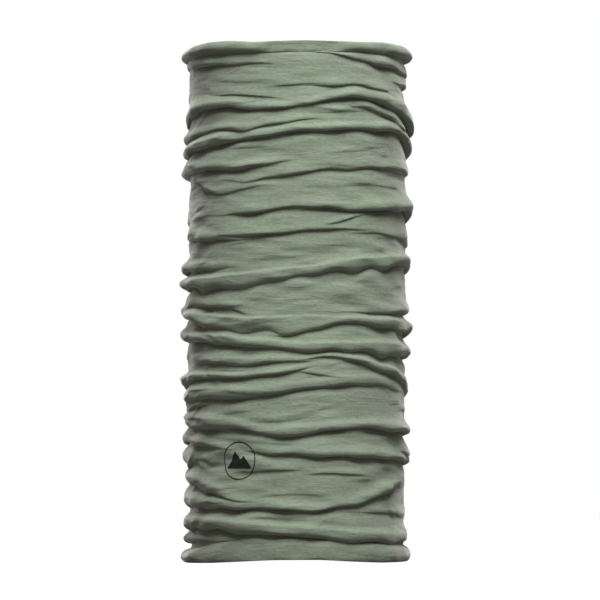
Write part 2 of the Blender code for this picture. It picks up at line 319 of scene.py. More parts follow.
def add_fold(swell, sag, heights, crest, drop, out, rise, lean):
    """Adds one fold to the cloth's swell and sag, both as (height, column) in mm."""
    side = sideways()
    tight = ROLL_SHARE + SIDE_ROLL_SHARE * side
    width = ROLL_FRONT_WIDTH + (ROLL_SIDE_WIDTH - ROLL_FRONT_WIDTH) * side
    hang = lean * out
    above = heights[:, None] - (crest + hang)
    drop = drop + hang
    upper = tight * bell(above, width * rise) + (1.0 - tight) * bell(above, RAMP_SIDE * rise)
    under = np.sqrt(np.clip(1.0 - np.clip(-above / drop, 0.0, 1.0) ** ROLL_FULLNESS, 0.0, 1.0))
    shape = out * np.where(above > 0.0, upper, under)
    past = above + drop
    crease = bell(past, np.where(past > 0.0, DIP_ABOVE * drop, DIP_BELOW_MM))
    swell += shape - (DIP_SHARE - SIDE_DIP * side) * out * crease
    sag += lean * shape


def wobble(draw, size):
    """An uneven line round the tube, about zero."""
    turns = np.radians(column_bearings())
    waves = [
        np.cos(draw.integers(*WOBBLE_ROUNDS) * turns + draw.uniform(0.0, 2.0 * math.pi))
        for _ in range(WOBBLE_WAVES)
    ]
    return size * np.sum(waves, axis=0) / math.sqrt(WOBBLE_WAVES / 2.0)


def named_folds(swell, sag, heights):
    draw = np.random.default_rng(FOLD_SEED)
    side = sideways()
    for rise, lean, points in FOLDS.values():
        bearings, crest, drop, out = np.array(points, float).T
        crest, drop, out = (round_the_tube(bearings, values) for values in (crest, drop, out))
        crest = crest + wobble(draw, CREST_WOBBLE_MM)
        full = np.clip(drop - THIN_DROP_MM, 0.0, None)
        drop = ((PINCH + SIDE_PINCH * side) * drop + full) * np.exp(wobble(draw, SIZE_WOBBLE))
        out = out * (FRONT_OUT + (SIDE_OUT - FRONT_OUT) * side) * np.exp(wobble(draw, SIZE_WOBBLE))
        add_fold(swell, sag, heights, crest, drop, out, rise, lean * (1.0 - SIDE_LEAN * side))


# Small wrinkles between the named folds: how many, between which bearings, shortest and longest half
# length (degrees), spread of their slopes (mm a degree), least and most they stand out (mm)
SMALL_FOLDS = (
    (140, (-180, 180), (7, 24), 0.09, (0.15, 0.55)),
    (70, (-86, -46), (3.5, 9), 0.5, (0.2, 0.6)),
    (34, (48, 86), (3.5, 9), 0.4, (0.15, 0.5)),
    (90, (95, 265), (4, 12), 0.35, (0.15, 0.5)),
)
SMALL_FOLD_SEED = 11
SMALL_FOLD_HEIGHTS_MM = (14.0, 340.0)
SMALL_FOLD_BEND = 0.004  # spread of their bends, in mm a square degree
SMALL_FOLD_DROPS_MM = (2.0, 3.8)
SMALL_FOLD_RISE_MM = 2.6
SMALL_FOLD_LEAN = 0.2


def small_folds(swell, sag, heights):
    draw = np.random.default_rng(SMALL_FOLD_SEED)
    for count, between, half_lengths, slopes, outs in SMALL_FOLDS:
        for _ in range(count):
            middle = draw.uniform(*between)
            half = draw.uniform(*half_lengths)
            away = (column_bearings() - middle + 180.0) % 360.0 - 180.0
            crest = draw.uniform(*SMALL_FOLD_HEIGHTS_MM) + draw.normal(0.0, slopes) * away
            crest = crest + draw.normal(0.0, SMALL_FOLD_BEND) * np.square(away)
            drop = draw.uniform(*SMALL_FOLD_DROPS_MM)
            out = draw.uniform(*outs) * np.clip(1.0 - np.square(away / half), 0.0, None)
            add_fold(swell, sag, heights, crest, drop, out, SMALL_FOLD_RISE_MM, SMALL_FOLD_LEAN)


# Slow swelling of the whole tube, so that it is never a true cylinder: (size in mm, waves round the
# tube, height in mm to a radian of the wave, where it starts)
SOFT_WAVES = ((0.5, 2.0, 61.0, 0.0), (0.35, 3.0, -43.0, 1.0), (0.25, 5.0, 29.0, 2.3))
# Crumpling: (seed, number of waves, fewest waves round the tube and one more than the most, shortest and
# longest wavelength up the tube in mm, size)
SOFT_CRUMPLE = (4, 90, (4, 15), (9.0, 26.0), 0.34)
FINE_CRUMPLE = (5, 120, (3, 22), (4.5, 9.0), 0.08)
CRUMPLE_PATCHES = (3, 12, (1, 5), (60.0, 200.0), 0.5)  # where the cloth is crumpled more or less
CRUMPLE_SHARE = 0.8
CRUMPLE_SHARES = (0.1, 1.8)  # least and most
CALM_FRONT = 0.32  # the cloth crumples less by this share on the side of the calm bearing
CALM_BEARING = 20.0


def soft_waves(heights):
    turns = np.radians(column_bearings())
    return sum(
        size * np.cos(count * turns[None, :] + heights[:, None] / climb + start)
        for size, count, climb, start in SOFT_WAVES
    )


def crumple(heights, seed, waves, rounds, wavelengths, size):
    """An uneven surface: many slanting waves, each a whole number of times round the tube."""
    draw = np.random.default_rng(seed)
    turns = np.radians(column_bearings())
    field = np.zeros((len(heights), COLUMNS))
    for _ in range(waves):
        count = draw.integers(*rounds) * draw.choice((-1, 1))
        upward = 2.0 * math.pi / draw.uniform(*wavelengths)
        field += np.cos(count * turns[None, :] + upward * heights[:, None] + draw.uniform(0.0, 2.0 * math.pi))
    return size * field / math.sqrt(waves / 2.0)


def drawn_to(radius, share, target):
    """The cloth's radius drawn towards this one, by a share from 0 to 1 at each place."""
    return radius + np.clip(share, 0.0, 1.0) * (target - radius)


def tube_profile(bottom_tuck, top_tuck):
    """The cloth as (height, column) arrays of radius and height in mm."""
    heights = np.arange(TUBE_LOW_MM, TUBE_HIGH_MM + PROFILE_STEP_MM / 2.0, PROFILE_STEP_MM)
    calm_front = CRUMPLE_SHARE - CALM_FRONT * np.cos(np.radians(column_bearings() - CALM_BEARING))
    patches = calm_front * np.clip(CRUMPLE_SHARE + crumple(heights, *CRUMPLE_PATCHES), *CRUMPLE_SHARES)
    from_ends = np.minimum(heights - TUBE_LOW_MM, TUBE_HIGH_MM - heights)
    patches *= np.clip(from_ends / CALM_END_MM, CALM_END_SHARE, 1.0)[:, None]
    swell = soft_waves(heights) + patches * crumple(heights, *SOFT_CRUMPLE)
    swell += patches * crumple(heights, *FINE_CRUMPLE)
    sag = np.zeros_like(swell)
    named_folds(swell, sag, heights)
    small_folds(swell, sag, heights)

    radius = CLOTH_RADIUS_MM + swell
    from_label = (column_bearings() % 360.0 - 180.0) / TACK_REACH_DEG
    tacked = TACK_HOLD * bell(from_label, 1.0) * bell(heights[:, None] - TACK_HEIGHT_MM, TACK_REACH_MM)
    radius = drawn_to(radius, tacked, TACK_RADIUS_MM)
    past_tuck = np.maximum(bottom_tuck - heights[:, None], heights[:, None] - top_tuck)
    radius = drawn_to(radius, (past_tuck + TUCK_START_MM) / TUCK_REACH_MM, HIDDEN_RADIUS_MM)
    return radius, heights[:, None] - sag


def smooth_up(field, reach):
    """A (height, column) field averaged over about this many mm above and below."""
    steps = round(reach / PROFILE_STEP_MM)
    window = np.hanning(2 * steps + 3)[1:-1]
    window = window / window.sum()
    padded = np.pad(field, ((steps, steps), (0, 0)), mode="edge")
    return np.stack([np.convolve(column, window, "valid") for column in padded.T], axis=1)


def from_start(steps):
    return np.vstack([np.zeros(COLUMNS), np.cumsum(steps, axis=0)])


def spread_rows(radius, height):
    """The tube's radius, height, place along the cloth (mm) and crease depth (0 to 1) as (row, column)
    arrays. Rows lie closer where the cloth turns sharply."""
    steps = np.hypot(np.diff(radius, axis=0), np.diff(height, axis=0))
    length = from_start(steps)
    drift = length - length.mean(axis=1)[:, None]
    along = length - smooth_up(drift, DRIFT_REACH_MM)
    # crease depth, 0 to 1, which the material turns into painted shade
    crease = np.clip((smooth_up(radius, CREASE_REACH_MM) - radius) / CREASE_DEPTH_MM, 0.0, 1.0)

    slant = np.unwrap(np.arctan2(np.diff(radius, axis=0), np.diff(height, axis=0)), axis=0)
    turns = np.abs(np.diff(slant, axis=0, prepend=slant[:1]))
    effort = np.apply_along_axis(smooth_round, 1, steps + TURN_MM * turns, EFFORT_SMOOTHING_DEG)
    effort = from_start(effort)
    shares = np.linspace(0.0, 1.0, ROWS + 1)
    spread = np.empty((4, ROWS + 1, COLUMNS))
    for column in range(COLUMNS):
        at = shares * effort[-1, column]
        for i, field in enumerate((radius, height, along, crease)):
            spread[i, :, column] = np.interp(at, effort[:, column], field[:, column])
    return spread


def add_piece(name, mesh, material, node):
    """The smooth object of this mesh, in place of one solid of the frame."""
    mesh.shade_smooth()
    mesh.materials.append(material)
    obj = bpy.data.objects.new(name, mesh)
    bpy.context.scene.collection.objects.link(obj)
    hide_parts(node)
    return obj


def mesh_piece(name, points, faces, material, node):
    mesh = bpy.data.meshes.new(name)
    mesh.from_pydata(points, [], faces)
    return add_piece(name, mesh, material, node)


def cloth_object(name, radius, height, along, crease, material, slot, node):
    """A tube of cloth from (row, column) arrays in mm. Its UV map is in metres of cloth."""
    turns = np.radians(column_bearings())
    rows = radius.shape[0]
    points = np.stack([radius * np.sin(turns), -radius * np.cos(turns), height], axis=-1)
    points = points.reshape(-1, 3) * MM
    low = np.arange((rows - 1) * COLUMNS).reshape(rows - 1, COLUMNS)
    right = np.roll(low, -1, axis=1)
    faces = np.stack([low, right, right + COLUMNS, low + COLUMNS], axis=-1).reshape(-1, 4)
    mesh = bpy.data.meshes.new(name)
    mesh.from_pydata(points.tolist(), [], faces.tolist())

    across = np.arange(COLUMNS + 1) / COLUMNS * FLAT_WIDTH
    left_u = np.broadcast_to(across[:-1], low.shape)
    right_u = np.broadcast_to(across[1:], low.shape)
    left_v = along * MM
    right_v = np.roll(left_v, -1, axis=1)
    corners = [left_u, left_v[:-1], right_u, right_v[:-1], right_u, right_v[1:], left_u, left_v[1:]]
    layer = mesh.uv_layers.new(name="Cloth")
    layer.data.foreach_set("uv", np.stack(corners, axis=-1).reshape(-1).astype(np.float32))
    # the crease depth, kept on the mesh for the material's painted crease shade
    depth = mesh.attributes.new("PaintedCreaseShade", "FLOAT", "POINT")
    depth.data.foreach_set("value", crease.reshape(-1).astype(np.float32))
    return add_piece(name, mesh, material, node)


# Rolled edges, from the hem inside the tube over the edge and round to where the cloth tucks in against
# the tube. Each point is (inner radius, share of the bulge, share of the roll's height).
ROLL_SECTION = (
    (72.7, 0.0, 2.3),
    (72.4, 0.0, 1.1),
    (72.6, 0.0, 0.42),
    (73.8, 0.0, 0.10),
    (75.2, 0.2, 0.0),
    (75.6, 0.62, 0.10),
    (75.6, 0.95, 0.34),
    (75.6, 0.90, 0.60),
    (75.2, 0.55, 0.84),
    (74.5, 0.2, 0.96),
    (73.8, 0.0, 1.0),
    (73.2, 0.0, 0.94),
)
# Both rolls round the tube: (bearing, edge, where it tucks in, bulge), in mm
TOP_ROLL = (
    (-180, 354.8, 347.0, 3.0),
    (-110, 355.0, 345.5, 4.0),
    (-90, 353.4, 345.5, 4.8),
    (-76, 355.2, 347.0, 3.4),
    (-55, 356.6, 348.0, 2.6),
    (-38, 356.4, 347.6, 2.4),
    (-22, 354.4, 346.6, 2.2),
    (-8, 354.9, 346.4, -0.4),
    (5, 355.2, 346.2, -0.8),
    (18, 355.0, 346.8, -0.3),
    (32, 355.2, 347.6, 2.0),
    (50, 356.4, 347.8, 2.8),
    (74, 356.4, 347.4, 3.6),
    (90, 354.6, 346.0, 5.2),
    (115, 354.0, 347.0, 3.4),
)
BOTTOM_ROLL = (
    (-180, 0.4, 15.0, 2.6),
    (-110, 0.0, 10.5, 3.8),
    (-90, 0.0, 9.5, 5.2),
    (-70, 0.0, 9.5, 3.2),
    (-50, 0.4, 13.5, 1.4),
    (-30, 1.6, 17.5, 0.6),
    (-10, 2.8, 18.5, 0.4),
    (10, 3.0, 17.0, 0.4),
    (30, 1.6, 15.0, 0.9),
    (50, 0.6, 14.0, 1.8),
    (75, 0.8, 12.5, 2.4),
    (95, 1.0, 12.0, 3.2),
    (130, 0.6, 13.5, 2.6),
)
TOP_ROLL_SEED = 5
BOTTOM_ROLL_SEED = 6
ROLL_ROWS = 60
ROLL_CRUMPLE = (40, (4, 26), (14.0, 50.0), 0.20)  # as above, with wavelengths in rows
TUCK_WOBBLE_MM = 0.18
BULGE_WOBBLE_MM = 0.16
TUCK_SHADE_FROM = 0.6  # painted shade darkens the roll into its crease from this share of its height
TUCK_SHADE_OVER = 0.5
CURVE_STEPS = 12  # from one point of a section to the next


def edge_lines(table):
    bearings, *columns = np.array(table, float).T
    return [round_the_tube(bearings, column) for column in columns]


def curve_through(points, count):
    """Points evenly spaced on a smooth curve through these ones."""
    points = np.array(points, float)
    padded = np.vstack([2 * points[0] - points[1], points, 2 * points[-1] - points[-2]])
    dense = []
    for before, start, end, after in zip(padded, padded[1:], padded[2:], padded[3:]):
        bend = 2 * before - 5 * start + 4 * end - after
        twist = 3 * start - before - 3 * end + after
        for t in np.linspace(0.0, 1.0, CURVE_STEPS, endpoint=False):
            dense.append(0.5 * (2 * start + (end - before) * t + bend * t**2 + twist * t**3))
    dense.append(points[-1])
    dense = np.array(dense)
    along = np.concatenate([[0.0], np.cumsum(np.linalg.norm(np.diff(dense, axis=0), axis=1))])
    at = np.linspace(0.0, along[-1], count)
    return np.stack([np.interp(at, along, column) for column in dense.T], axis=1)


def knitted_tube():
    _, bottom_tuck, _ = edge_lines(BOTTOM_ROLL)
    _, top_tuck, _ = edge_lines(TOP_ROLL)
    cloth = spread_rows(*tube_profile(bottom_tuck, top_tuck))
    material = knit_material("sage knit, tube")
    return cloth_object("tube_cloth_visual", *cloth, material, "tube_knit", "tube_cloth")


def rolled_edge(end, table, seed):
    """The rolled edge at the top or bottom end, from its edge to where it tucks in."""
    edge, tuck, bulge = edge_lines(table)
    draw = np.random.default_rng(seed)
    tuck = tuck + wobble(draw, TUCK_WOBBLE_MM)
    bulge = bulge + wobble(draw, BULGE_WOBBLE_MM)
    line = curve_through(ROLL_SECTION, ROLL_ROWS)
    radius = line[:, 0, None] + line[:, 1, None] * bulge
    height = edge + line[:, 2, None] * (tuck - edge)
    radius = radius + crumple(np.arange(ROLL_ROWS), seed, *ROLL_CRUMPLE)
    along = from_start(np.hypot(np.diff(radius, axis=0), np.diff(height, axis=0)))
    along = np.broadcast_to(along.mean(axis=1)[:, None], radius.shape)
    # painted shade on the roll's tucked-in side, stronger where the roll bulges more
    tuck_shade = np.clip((line[:, 2, None] - TUCK_SHADE_FROM) / TUCK_SHADE_OVER, 0.0, 1.0)
    tuck_shade = tuck_shade * np.clip(bulge, 0.0, 1.0)
    cloth = (radius, height, along, tuck_shade)
    material = knit_material(f"sage knit, {end}")
    return cloth_object(f"{end}_edge_visual", *cloth, material, f"{end}_edge_knit", f"{end}_edge_roll")


def surface_tree(obj):
    vertices = [vertex.co.copy() for vertex in obj.data.vertices]
    return BVHTree.FromPolygons(vertices, [tuple(face.vertices) for face in obj.data.polygons])


# Emblem: a ring round two mountains, printed on the cloth
EMBLEM_BEARING = -31.5
EMBLEM_HEIGHT = 70.0 * MM
EMBLEM_RADIUS = 76.0 * MM  # of the cloth that it lies on
OUTSIDE = 120.0 * MM  # from the tube's middle to beyond all of the cloth
RING_RADIUS = 13.0 * MM
RING_WIDTH = 0.75 * MM
RING_LINES = 4  # lines of points across the ring's width
INK_RISE = 0.12 * MM
INK_STEP = 0.5 * MM


def on_cloth(tree, across, up):
    """A point of ink just off the cloth, this far across and up from the emblem's centre."""
    turn = math.radians(EMBLEM_BEARING) + across / EMBLEM_RADIUS
    outwards = Vector((math.sin(turn), -math.cos(turn), 0.0))
    height = Vector((0.0, 0.0, EMBLEM_HEIGHT + up))
    hit, _, _, _ = tree.ray_cast(height + outwards * OUTSIDE, -outwards)
    return hit + outwards * INK_RISE


def printed(name, tree, rows):
    """One part of the emblem in ink on the cloth, from rows of (across, up) points."""
    points = [on_cloth(tree, across, up) for row in rows for across, up in row]
    width = len(rows[0])
    faces = []
    for i in range(len(rows) - 1):
        for j in range(width - 1):
            corner = i * width + j
            faces.append((corner, corner + width, corner + width + 1, corner + 1))
    node = f"emblem_{name}"
    return mesh_piece(f"{node}_visual", points, faces, ink_material(f"{name} ink"), node)


def ring_strip():
    steps = round(2.0 * math.pi * RING_RADIUS / INK_STEP)
    rows = []
    for turn in np.linspace(0.0, 2.0 * math.pi, steps + 1):
        radii = np.linspace(RING_RADIUS, RING_RADIUS - RING_WIDTH, RING_LINES)
        rows.append([(r * math.cos(turn), r * math.sin(turn)) for r in radii])
    return rows


# The skyline of the mountains, from the left foot over the high peak, the saddle and the low peak
RIDGE_MM = (
    (-9.6, -4.4), (-7.0, -1.2), (-5.6, 1.8), (-3.0, 6.8), (-1.6, 4.4), (-0.6, 3.6), (1.2, 0.8),
    (2.6, 1.8), (4.0, 3.4), (5.4, 1.4), (6.6, 0.4), (9.6, -4.4),
)
RIDGE_FOOT_MM = -5.4


def mountain_strip():
    """Mountains filled with ink, from the level foot up to the skyline."""
    corners = np.array(RIDGE_MM) * MM
    across = np.linspace(corners[0, 0], corners[-1, 0], round(np.ptp(corners[:, 0]) / INK_STEP) + 1)
    skyline = np.interp(across, corners[:, 0], corners[:, 1])
    foot = RIDGE_FOOT_MM * MM
    rows = round((corners[:, 1].max() - foot) / INK_STEP)
    return [[(x, z) for z in np.linspace(top, foot, rows + 1)] for x, top in zip(across, skyline)]


class Nodes:
    """Short calls for building a material's nodes."""

    def __init__(self, name):
        self.material = bpy.data.materials.new(name)
        self.material.use_nodes = True
        self.tree = self.material.node_tree
        self.surface = self.tree.nodes["Principled BSDF"]

    def add(self, kind, inputs=(), **settings):
        node = self.tree.nodes.new(kind)
        for key, value in settings.items():
            setattr(node, key, value)
        for key, value in dict(inputs).items():
            self.feed(node, key, value)
        return node

    def feed(self, node, key, value):
        if isinstance(value, bpy.types.NodeSocket):
            self.tree.links.new(value, node.inputs[key])
        else:
            node.inputs[key].default_value = value

    def math(self, operation, a, b=0.0):
        return self.add("ShaderNodeMath", {0: a, 1: b}, operation=operation).outputs[0]

    def cloth_map(self):
        """The place on the cloth, and its parts across the cloth and along it."""
        cloth = self.add("ShaderNodeUVMap", uv_map="Cloth").outputs["UV"]
        split = self.add("ShaderNodeSeparateXYZ", {0: cloth})
        return cloth, split.outputs[0], split.outputs[1]

    def noise(self, place, scales, detail, roughness):
        """Noise with these scales per metre along the three directions."""
        scaled = self.add("ShaderNodeVectorMath", {0: place, 1: scales}, operation="MULTIPLY").outputs[0]
        inputs = {"Vector": scaled, "Scale": 1.0, "Detail": detail, "Roughness": roughness}
        return self.add("ShaderNodeTexNoise", inputs).outputs["Fac"]

    def ramp(self, value, low, high):
        inputs = {"Value": value, "From Min": low, "From Max": high}
        return self.add("ShaderNodeMapRange", inputs).outputs["Result"]

    def mix(self, share, first, second):
        node = self.add("ShaderNodeMix", data_type="RGBA")
        self.feed(node, 0, share)
        self.feed(node, 6, first)
        self.feed(node, 7, second)
        return node.outputs[2]

    def wave(self, place, length, kind="SINE"):
        return self.math(kind, self.math("MULTIPLY", place, 2.0 * math.pi / length))

    def relief(self, *layers):
        """Gives the surface these layers of relief, each (height, distance, strength)."""
        normal = None
        for height, distance, strength in layers:
            node = self.add("ShaderNodeBump", {"Height": height, "Distance": distance, "Strength": strength})
            if normal is not None:
                self.feed(node, "Normal", normal)
            normal = node.outputs["Normal"]
        self.feed(self.surface, "Normal", normal)

    def set_surface(self, **settings):
        """Sets or feeds the surface's inputs, named with _ for each space."""
        for key, value in settings.items():
            self.feed(self.surface, key.replace("_", " "), value)


# Knit
WALES = 410  # columns of stitches round the tube
WALE = FLAT_WIDTH / WALES
COURSE = 0.85 * MM  # one row of stitches
STITCH_SLANT = 1.3  # how far, in radians of a course, a stitch climbs within its wale
STITCH_SHARE = 0.25  # relief of the stitches beside that of the wales
SAGE_DARK = (0.194, 0.246, 0.178, 1.0)
SAGE_LIGHT = (0.264, 0.332, 0.244, 1.0)
SAGE_GREY = (0.240, 0.277, 0.220, 1.0)
CREASE_PAINTED_SHADE = (0.128, 0.111, 0.094, 1.0)  # painted shade: the cloth's colour is mixed towards this dark brown deep in its creases
CREASE_SHADE_SHARE = 0.62
HEATHER_SPAN = (0.34, 0.66)  # noise from all dark to all light
MOTTLE_SPAN = (0.35, 0.75)
MOTTLE_SHARE = 0.6
GROOVE_SHADE_SHARE = 0.04  # painted shade: the cloth is painted this much darker in the groove between two wales
KNIT_ROUGHNESS_SPAN = (-1.6, 0.9)
LINE_SPAN = (0.035, 0.0)  # a crinkle line runs where the bends' noise is this near to its middle
LINE_PATCHES = (0.48, 0.64)  # and only where the mottle's noise is high
# Noise in the knit: (scale across and along, per metre of cloth, detail, roughness)
FIBRES = (900.0, 900.0, 3.0, 0.6)
HEATHER = (300.0, 1300.0, 2.0, 0.6)
MOTTLE = (22.0, 30.0, 2.0, 0.5)
CRINKLE = (34.0, 330.0, 3.0, 0.55)
CRUMPLE = (26.0, 95.0, 2.0, 0.5)
BENDS = (48.0, 84.0, 2.0, 0.45)


def knit_material(name):
    nodes = Nodes(name)
    _, across, along = nodes.cloth_map()
    circle = {i: nodes.wave(across, FLAT_WIDTH, kind) for i, kind in enumerate(("COSINE", "SINE"))}
    round_cloth = nodes.add("ShaderNodeCombineXYZ", {**circle, 2: along}).outputs[0]

    def cloth_noise(across_scale, along_scale, detail, roughness):
        """Noise on the cloth, with no seam where it closes up."""
        turn_scale = across_scale * FLAT_WIDTH / (2.0 * math.pi)
        return nodes.noise(round_cloth, (turn_scale, turn_scale, along_scale), detail, roughness)

    wale = nodes.math("ABSOLUTE", nodes.wave(across, 2.0 * WALE))
    slant = nodes.math("MULTIPLY", nodes.wave(across, WALE, "COSINE"), STITCH_SLANT)
    course = nodes.math("MULTIPLY", along, 2.0 * math.pi / COURSE)
    stitch = nodes.math("SINE", nodes.math("ADD", course, slant))
    stitches = nodes.math("ADD", wale, nodes.math("MULTIPLY", stitch, STITCH_SHARE))

    fibres = cloth_noise(*FIBRES)
    mottle = cloth_noise(*MOTTLE)
    tone = nodes.mix(nodes.ramp(cloth_noise(*HEATHER), *HEATHER_SPAN), SAGE_DARK, SAGE_LIGHT)
    tone = nodes.mix(nodes.math("MULTIPLY", nodes.ramp(mottle, *MOTTLE_SPAN), MOTTLE_SHARE), tone, SAGE_GREY)
    # painted shade in the grooves between the wales
    groove_shade = nodes.math("MULTIPLY", nodes.math("SUBTRACT", 1.0, wale), GROOVE_SHADE_SHARE)
    tone = nodes.mix(groove_shade, tone, SAGE_DARK)
    # painted shade: the colour is mixed towards a dark brown where the cloth lies deep in a crease
    crease = nodes.add("ShaderNodeAttribute", attribute_name="PaintedCreaseShade").outputs["Fac"]
    tone = nodes.mix(nodes.math("MULTIPLY", crease, CREASE_SHADE_SHARE), tone, CREASE_PAINTED_SHADE)

    off_line = nodes.math("ABSOLUTE", nodes.math("SUBTRACT", cloth_noise(*BENDS), 0.5))
    patches = nodes.ramp(mottle, *LINE_PATCHES)
    lines = nodes.math("MULTIPLY", nodes.ramp(off_line, *LINE_SPAN), patches)
    nodes.relief(
        (cloth_noise(*CRUMPLE), 1.6 * MM, 0.5),
        (cloth_noise(*CRINKLE), 0.8 * MM, 0.55),
        (lines, 0.3 * MM, 0.45),
        (stitches, 0.1 * MM, 0.35),
        (fibres, 0.12 * MM, 0.5),
    )
    nodes.set_surface(
        Base_Color=tone,
        Roughness=nodes.ramp(fibres, *KNIT_ROUGHNESS_SPAN),
        Specular_IOR_Level=0.15,
        Sheen_Weight=0.5,
        Sheen_Roughness=0.45,
        Sheen_Tint=(0.93, 0.90, 0.87, 1.0),
    )
    return nodes.material


# Label ribbon
RIBBON_WHITE = (0.60, 0.61, 0.56, 1.0)
RIBBON_SHADE = (0.44, 0.46, 0.41, 1.0)
RIBBON_SAGE = (0.16, 0.21, 0.15, 1.0)
WARP = 0.34 * MM  # from one thread of the ribbon to the next, across it and along it
WEFT = 0.26 * MM
SELVAGE = 0.9 * MM  # its width, and how near to the edge it has its full thickness
SELVAGE_FULL = 0.54 * MM
STRIPE_FROM_EDGE = 2.4 * MM
STRIPE_HALF_WIDTH = 0.32 * MM
STRIPE_SHARE = 0.85
WEAVE_SHARE = 0.4  # relief of the weave beside that of the selvages
WEAR_SHARE = 0.3
LINT_SPAN = (0.3, 0.75)
WEAR_SPAN = (0.45, 0.8)
RIBBON_ROUGHNESS_SPAN = (-1.0, 1.0)


def ribbon_material(name):
    """A woven label ribbon with thick selvages and a fine stripe along each side."""
    nodes = Nodes(name)
    cloth, across, along = nodes.cloth_map()
    edge_distance = nodes.math("SUBTRACT", LABEL_HALF_WIDTH, nodes.math("ABSOLUTE", across))

    weave = nodes.math("MULTIPLY", nodes.wave(across, WARP), nodes.wave(along, WEFT))
    lint = nodes.noise(cloth, (1400.0, 700.0, 1.0), 3.0, 0.6)
    wear = nodes.noise(cloth, (160.0, 90.0, 1.0), 3.0, 0.5)

    tone = nodes.mix(nodes.ramp(lint, *LINT_SPAN), RIBBON_SHADE, RIBBON_WHITE)
    tone = nodes.mix(nodes.math("MULTIPLY", nodes.ramp(wear, *WEAR_SPAN), WEAR_SHARE), tone, RIBBON_SHADE)
    off_stripe = nodes.math("ABSOLUTE", nodes.math("SUBTRACT", edge_distance, STRIPE_FROM_EDGE))
    in_stripe = nodes.math("LESS_THAN", off_stripe, STRIPE_HALF_WIDTH)
    tone = nodes.mix(nodes.math("MULTIPLY", in_stripe, STRIPE_SHARE), tone, RIBBON_SAGE)

    selvage = nodes.ramp(edge_distance, SELVAGE, SELVAGE_FULL)
    threads = nodes.math("ADD", nodes.math("MULTIPLY", weave, WEAVE_SHARE), selvage)
    nodes.relief((threads, 0.18 * MM, 0.7), (lint, 0.1 * MM, 0.5))
    roughness = nodes.ramp(lint, *RIBBON_ROUGHNESS_SPAN)
    nodes.set_surface(Base_Color=tone, Roughness=roughness, Specular_IOR_Level=0.3, Sheen_Weight=0.2)
    return nodes.material


THREAD_DARK = (0.15, 0.20, 0.14, 1.0)
THREAD_LIGHT = (0.30, 0.37, 0.28, 1.0)
PLY_TWIST = 0.45 * MM
THREAD_ROUGHNESS_SPAN = (-1.0, 1.1)


def thread_material(name):
    """Sewing thread: two plies twisted together."""
    nodes = Nodes(name)
    place = nodes.add("ShaderNodeTexCoord").outputs["Object"]
    split = nodes.add("ShaderNodeSeparateXYZ", {0: place})
    twist = nodes.wave(nodes.math("ADD", split.outputs[0], split.outputs[2]), PLY_TWIST)
    fluff = nodes.noise(place, (4200.0, 4200.0, 4200.0), 3.0, 0.6)
    tone = nodes.mix(nodes.ramp(fluff, *LINT_SPAN), THREAD_DARK, THREAD_LIGHT)
    nodes.relief((twist, 0.12 * MM, 0.8), (fluff, 0.08 * MM, 0.5))
    nodes.set_surface(Base_Color=tone, Roughness=nodes.ramp(fluff, *THREAD_ROUGHNESS_SPAN), Sheen_Weight=0.3)
    return nodes.material


INK_BLACK = (0.006, 0.008, 0.006, 1.0)
INK_WORN = (0.026, 0.034, 0.027, 1.0)
INK_ROUGHNESS_SPAN = (-0.6, 1.3)


def ink_material(name):
    nodes = Nodes(name)
    place = nodes.add("ShaderNodeTexCoord").outputs["Object"]
    grain = nodes.noise(place, (2600.0, 2600.0, 2600.0), 3.0, 0.6)
    patch = nodes.noise(place, (260.0, 260.0, 260.0), 2.0, 0.5)
    tone = nodes.mix(nodes.ramp(grain, *LINT_SPAN), INK_BLACK, INK_WORN)
    nodes.relief((grain, 0.15 * MM, 0.6))
    roughness = nodes.ramp(patch, *INK_ROUGHNESS_SPAN)
    nodes.set_surface(Base_Color=tone, Roughness=roughness, Specular_IOR_Level=0.25)
    return nodes.material


# Care label: a folded ribbon that hangs inside at the back, and the zigzag of thread that tacks it
LABEL_HALF_WIDTH = 10.0 * MM
LABEL_HINGE = Vector((0.0, 70.5 * MM, 44.5 * MM))
RIBBON_HALF_THICKNESS = 0.13 * MM
# Its section, from the top of the leaf that faces the back down round the fold and up: (towards the
# back, up) from the hinge, in mm
LABEL_SECTION = (
    (0.20, 0.0),
    (0.36, -6.0),
    (0.30, -14.0),
    (0.34, -22.0),
    (0.42, -28.0),
    (0.44, -31.6),
    (0.30, -32.6),
    (0.0, -32.95),
    (-0.30, -32.6),
    (-0.44, -31.6),
    (-0.40, -28.0),
    (-0.28, -22.0),
    (-0.34, -14.0),
    (-0.30, -6.0),
    (-0.20, 0.0),
)
LABEL_DROP = 33.0 * MM
LABEL_BEND = 3.2 * MM  # how far its fold hangs away from the cloth
LABEL_LIFT = 0.9 * MM  # and how much further its lower corners lift
LABEL_TWIST = 0.35  # one side hangs further out than the other by about this share
TWIST_TURN = 2.2
TWIST_START = 0.7
SHARP_TURN_DEG = 50.0
LABEL_ROWS = 150
LABEL_COLUMNS = 24


def label_curl(side, up):
    """How far the soft ribbon bends into the tube, here across and up from the hinge."""
    down = -up / LABEL_DROP
    across = side / LABEL_HALF_WIDTH
    twist = 1.0 + LABEL_TWIST * math.sin(TWIST_TURN * across + TWIST_START)
    return LABEL_BEND * down**2 * twist + LABEL_LIFT * down**3 * across**2


